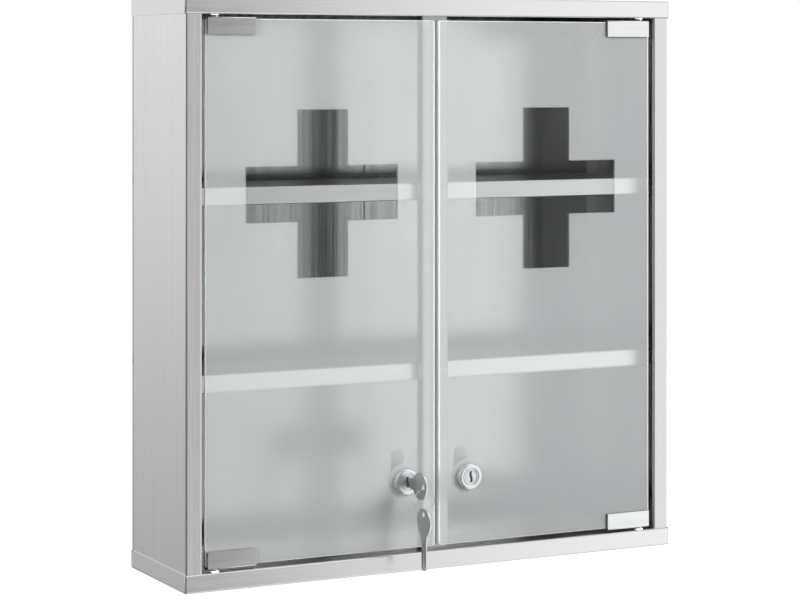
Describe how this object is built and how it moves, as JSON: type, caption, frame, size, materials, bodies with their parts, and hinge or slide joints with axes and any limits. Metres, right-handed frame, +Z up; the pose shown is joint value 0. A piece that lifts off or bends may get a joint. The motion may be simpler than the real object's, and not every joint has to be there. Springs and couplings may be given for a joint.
{
  "type": "lockable medicine cabinet",
  "caption": "Wall cabinet of folded stainless sheet with two inset frosted glass doors on pivot clips, cam locks with keys, a centre post and shelves.",
  "frame": {"origin": "centre of the case's back face, which is the centre of the four wall holes", "axes": "+X to the viewer's right when facing the doors, +Y into the wall, +Z up; the doors are at -Y"},
  "size_m": [0.46, 0.1618, 0.48],
  "materials": {
    "steel": "brushed",
    "glass": "etched on both faces round a clear cross",
    "chrome": "polished",
    "nickel": "satin nickel",
    "brass": "bare",
    "nylon": "moulded",
    "soft": "matt",
    "clear_pad": "clear, soft"
  },
  "bodies": {
    "cabinet": {"top_panel": "steel", "bottom_panel": "steel", "left_side_panel": "steel", "right_side_panel": "steel", "back_panel": "steel", "back_strip": "steel", "centre_post": "steel", "upper_shelf": "steel", "lower_shelf": "steel", "pivot_bushes": "nylon", "door_buffers": "clear_pad"},
    "left_door": {"left_glass": "glass", "left_top_clip": "steel", "left_bottom_clip": "steel", "left_clip_pads": "soft", "left_pivot_pins": "nickel", "left_clip_screws": "nickel", "left_lock_housing": "chrome", "left_lock_gasket": "soft", "left_lock_washer": "nickel", "left_lock_nut": "nickel"},
    "left_lock": {"left_lock_plug": "chrome", "left_lock_wafers": "brass", "left_lock_cam": "nickel", "left_cam_screw": "nickel"},
    "right_door": {"right_glass": "glass", "right_top_clip": "steel", "right_bottom_clip": "steel", "right_clip_pads": "soft", "right_pivot_pins": "nickel", "right_clip_screws": "nickel", "right_lock_housing": "chrome", "right_lock_gasket": "soft", "right_lock_washer": "nickel", "right_lock_nut": "nickel"},
    "right_lock": {"right_lock_plug": "chrome", "right_lock_wafers": "brass", "right_lock_cam": "nickel", "right_cam_screw": "nickel"},
    "door_key": {"inserted_key": "nickel"},
    "ring": {"key_ring": "chrome"},
    "spare_key": {"hanging_key": "nickel"}
  },
  "joints": [
    {"name": "left_door_swing", "type": "hinge", "parent": "cabinet", "child": "left_door", "pos_m": [-0.202, -0.1147, 0], "axis": [0, 0, -1], "range_deg": [0, 130]},
    {"name": "right_door_swing", "type": "hinge", "parent": "cabinet", "child": "right_door", "pos_m": [0.202, -0.1147, 0], "axis": [0, 0, 1], "range_deg": [0, 130]},
    {"name": "left_lock_turn", "type": "hinge", "parent": "left_door", "child": "left_lock", "pos_m": [-0.03, -0.11, -0.165], "axis": [0, 1, 0], "range_deg": [0, 90]},
    {"name": "right_lock_turn", "type": "hinge", "parent": "right_door", "child": "right_lock", "pos_m": [0.03, -0.11, -0.165], "axis": [0, -1, 0], "range_deg": [0, 90]},
    {"name": "key_pull", "type": "slide", "parent": "left_lock", "child": "door_key", "axis": [0, -1, 0], "range_m": [0, 0.02]},
    {"name": "ring_swing", "type": "hinge", "parent": "door_key", "child": "ring", "pos_m": [-0.03, -0.1503, -0.165], "axis": [1, 0, 0], "range_deg": [-60, 10]},
    {"name": "spare_key_swing", "type": "hinge", "parent": "ring", "child": "spare_key", "pos_m": [-0.03, -0.1503, -0.1873], "axis": [1, 0, 0], "range_deg": [-45, 12]}
  ]
}
